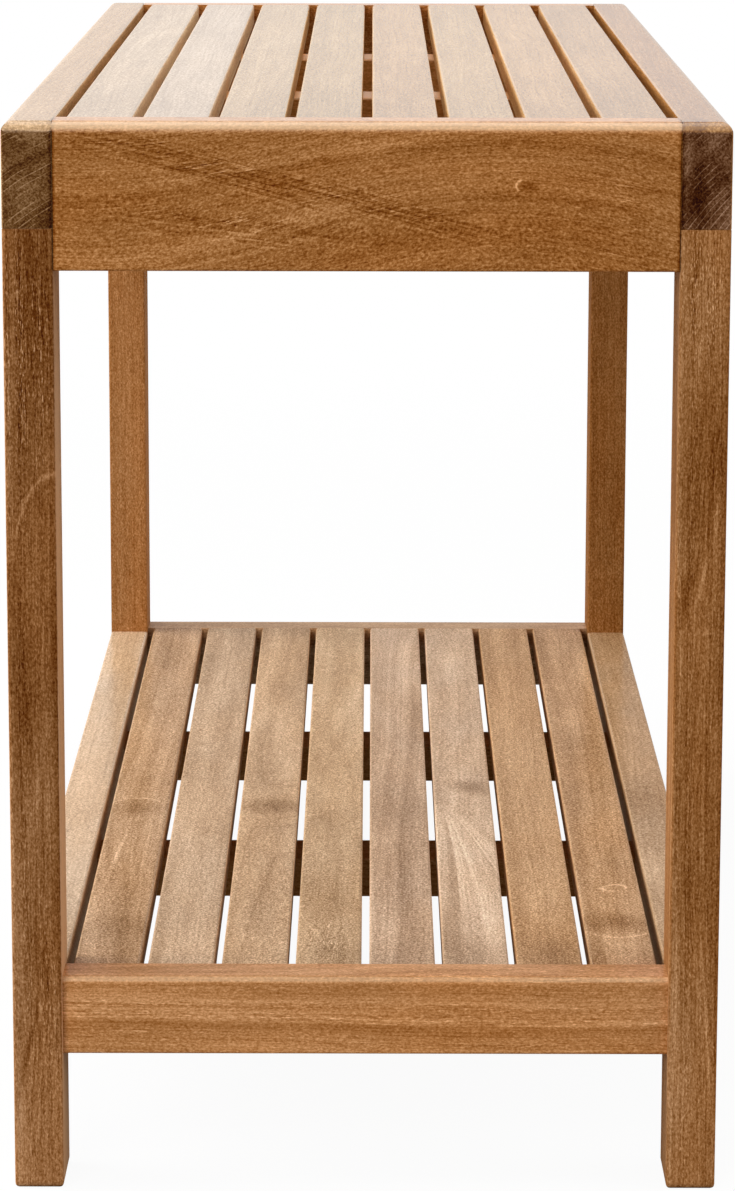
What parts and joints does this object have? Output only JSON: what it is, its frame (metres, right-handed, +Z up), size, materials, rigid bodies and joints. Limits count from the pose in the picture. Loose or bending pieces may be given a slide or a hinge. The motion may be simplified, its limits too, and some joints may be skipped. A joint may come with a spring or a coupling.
{
  "type": "slatted shower bench",
  "caption": "Freestanding slatted teak shower bench: a seat on legs under long side rails, end aprons, and a slatted shelf between the legs near the floor.",
  "frame": {"origin": "on the floor under the middle of the bench", "axes": "+X along the bench's length, +Y across it, +Z up from the floor to the seat"},
  "size_m": [0.76, 0.3, 0.457],
  "materials": {
    "leg_teak": "sanded, unfinished, fine satin grain",
    "seat_rail_teak": "sanded, unfinished, fine satin grain",
    "apron_teak": "sanded, unfinished, fine satin grain",
    "seat_slat_teak": "sanded, unfinished, fine satin grain",
    "shelf_slat_teak": "sanded, unfinished, fine satin grain",
    "shelf_rail_teak": "sanded, unfinished, fine satin grain",
    "batten_teak": "sanded, unfinished, fine satin grain",
    "dowel_beech": "sanded, unfinished, fine satin grain",
    "screw_steel": "stainless, satin"
  },
  "bodies": {
    "root": {"leg_left_front": "leg_teak", "leg_left_back": "leg_teak", "leg_right_front": "leg_teak", "leg_right_back": "leg_teak", "seat_rail_front": "seat_rail_teak", "seat_rail_back": "seat_rail_teak", "seat_apron_left": "apron_teak", "seat_apron_right": "apron_teak", "seat_slat_1": "seat_slat_teak", "seat_slat_2": "seat_slat_teak", "seat_slat_3": "seat_slat_teak", "seat_slat_4": "seat_slat_teak", "seat_slat_5": "seat_slat_teak", "seat_slat_6": "seat_slat_teak", "seat_slat_7": "seat_slat_teak", "seat_slat_8": "seat_slat_teak", "seat_batten_left": "batten_teak", "seat_batten_right": "batten_teak", "shelf_rail_front": "shelf_rail_teak", "shelf_rail_back": "shelf_rail_teak", "shelf_end_rail_left": "shelf_rail_teak", "shelf_end_rail_right": "shelf_rail_teak", "shelf_slat_1": "shelf_slat_teak", "shelf_slat_2": "shelf_slat_teak", "shelf_slat_3": "shelf_slat_teak", "shelf_slat_4": "shelf_slat_teak", "shelf_slat_5": "shelf_slat_teak", "shelf_slat_6": "shelf_slat_teak", "shelf_slat_7": "shelf_slat_teak", "shelf_slat_8": "shelf_slat_teak", "shelf_batten_left": "batten_teak", "shelf_batten_right": "batten_teak", "apron_dowels": "dowel_beech", "seat_slat_screws": "screw_steel", "shelf_slat_screws": "screw_steel"}
  },
  "joints": []
}
